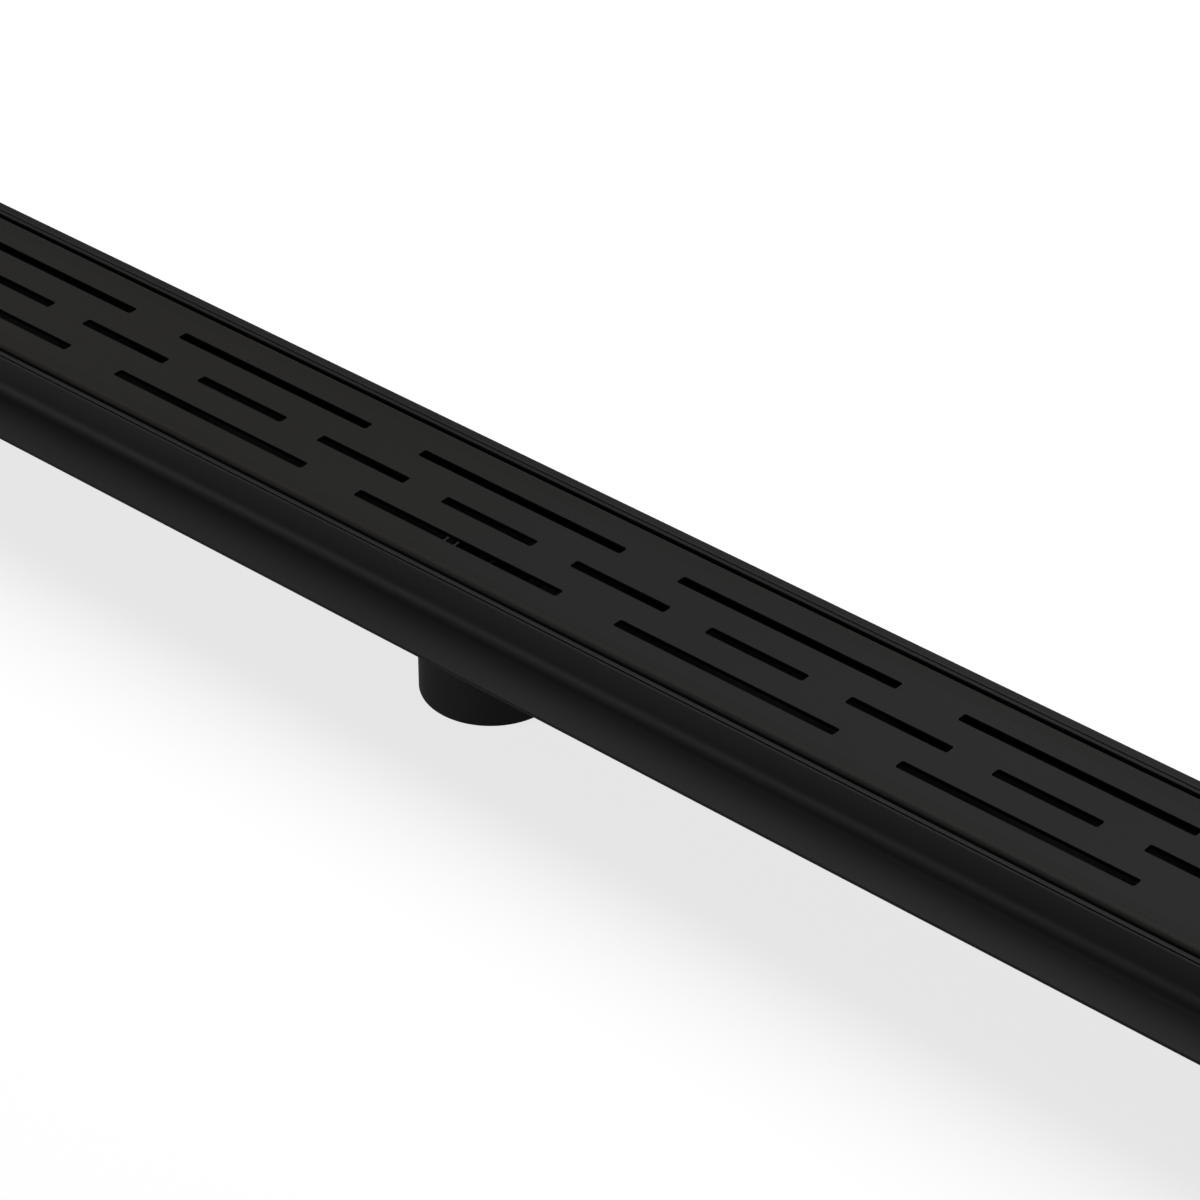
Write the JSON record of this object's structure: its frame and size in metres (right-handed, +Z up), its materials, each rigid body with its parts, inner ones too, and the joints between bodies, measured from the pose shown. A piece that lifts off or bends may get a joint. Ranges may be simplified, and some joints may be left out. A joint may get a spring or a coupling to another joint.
{
  "type": "channel drain",
  "caption": "Linear channel drain with a slotted lift-out grate, shallow folded trough, flange frame, centre outlet tube and hair strainer.",
  "frame": {"origin": "centre of the outlet tube's lower end, which is the middle of the underside of the whole drain's box", "axes": "+X along the channel, +Y across it, +Z up through the grate face; the outlet points along -Z"},
  "size_m": [0.9144, 0.1128, 0.068],
  "materials": {
    "body_coat": "matte black powder coat",
    "frame_coat": "satin black powder coat",
    "grate_coat": "satin black powder coat, faintly warm",
    "strainer_coat": "matte black coat",
    "strainer_steel": "dull stainless steel wire",
    "pad_rubber": "matte"
  },
  "bodies": {
    "root": {"channel_trough": "body_coat", "frame_angle_back": "frame_coat", "frame_angle_front": "frame_coat", "frame_angle_left": "frame_coat", "frame_angle_right": "frame_coat", "grate": "grate_coat", "grate_edge_back": "grate_coat", "grate_edge_front": "grate_coat", "grate_edge_left": "grate_coat", "grate_edge_right": "grate_coat", "outlet_tube": "body_coat", "rest_bracket_back_1": "body_coat", "rest_bracket_back_2": "body_coat", "rest_bracket_back_3": "body_coat", "rest_bracket_back_4": "body_coat", "rest_bracket_front_1": "body_coat", "rest_bracket_front_2": "body_coat", "rest_bracket_front_3": "body_coat", "rest_bracket_front_4": "body_coat", "rest_pad_back_1": "pad_rubber", "rest_pad_back_2": "pad_rubber", "rest_pad_back_3": "pad_rubber", "rest_pad_back_4": "pad_rubber", "rest_pad_front_1": "pad_rubber", "rest_pad_front_2": "pad_rubber", "rest_pad_front_3": "pad_rubber", "rest_pad_front_4": "pad_rubber", "strainer_basket": "strainer_coat", "strainer_handle": "strainer_steel", "trough_end_left": "body_coat", "trough_end_right": "body_coat"}
  },
  "joints": []
}
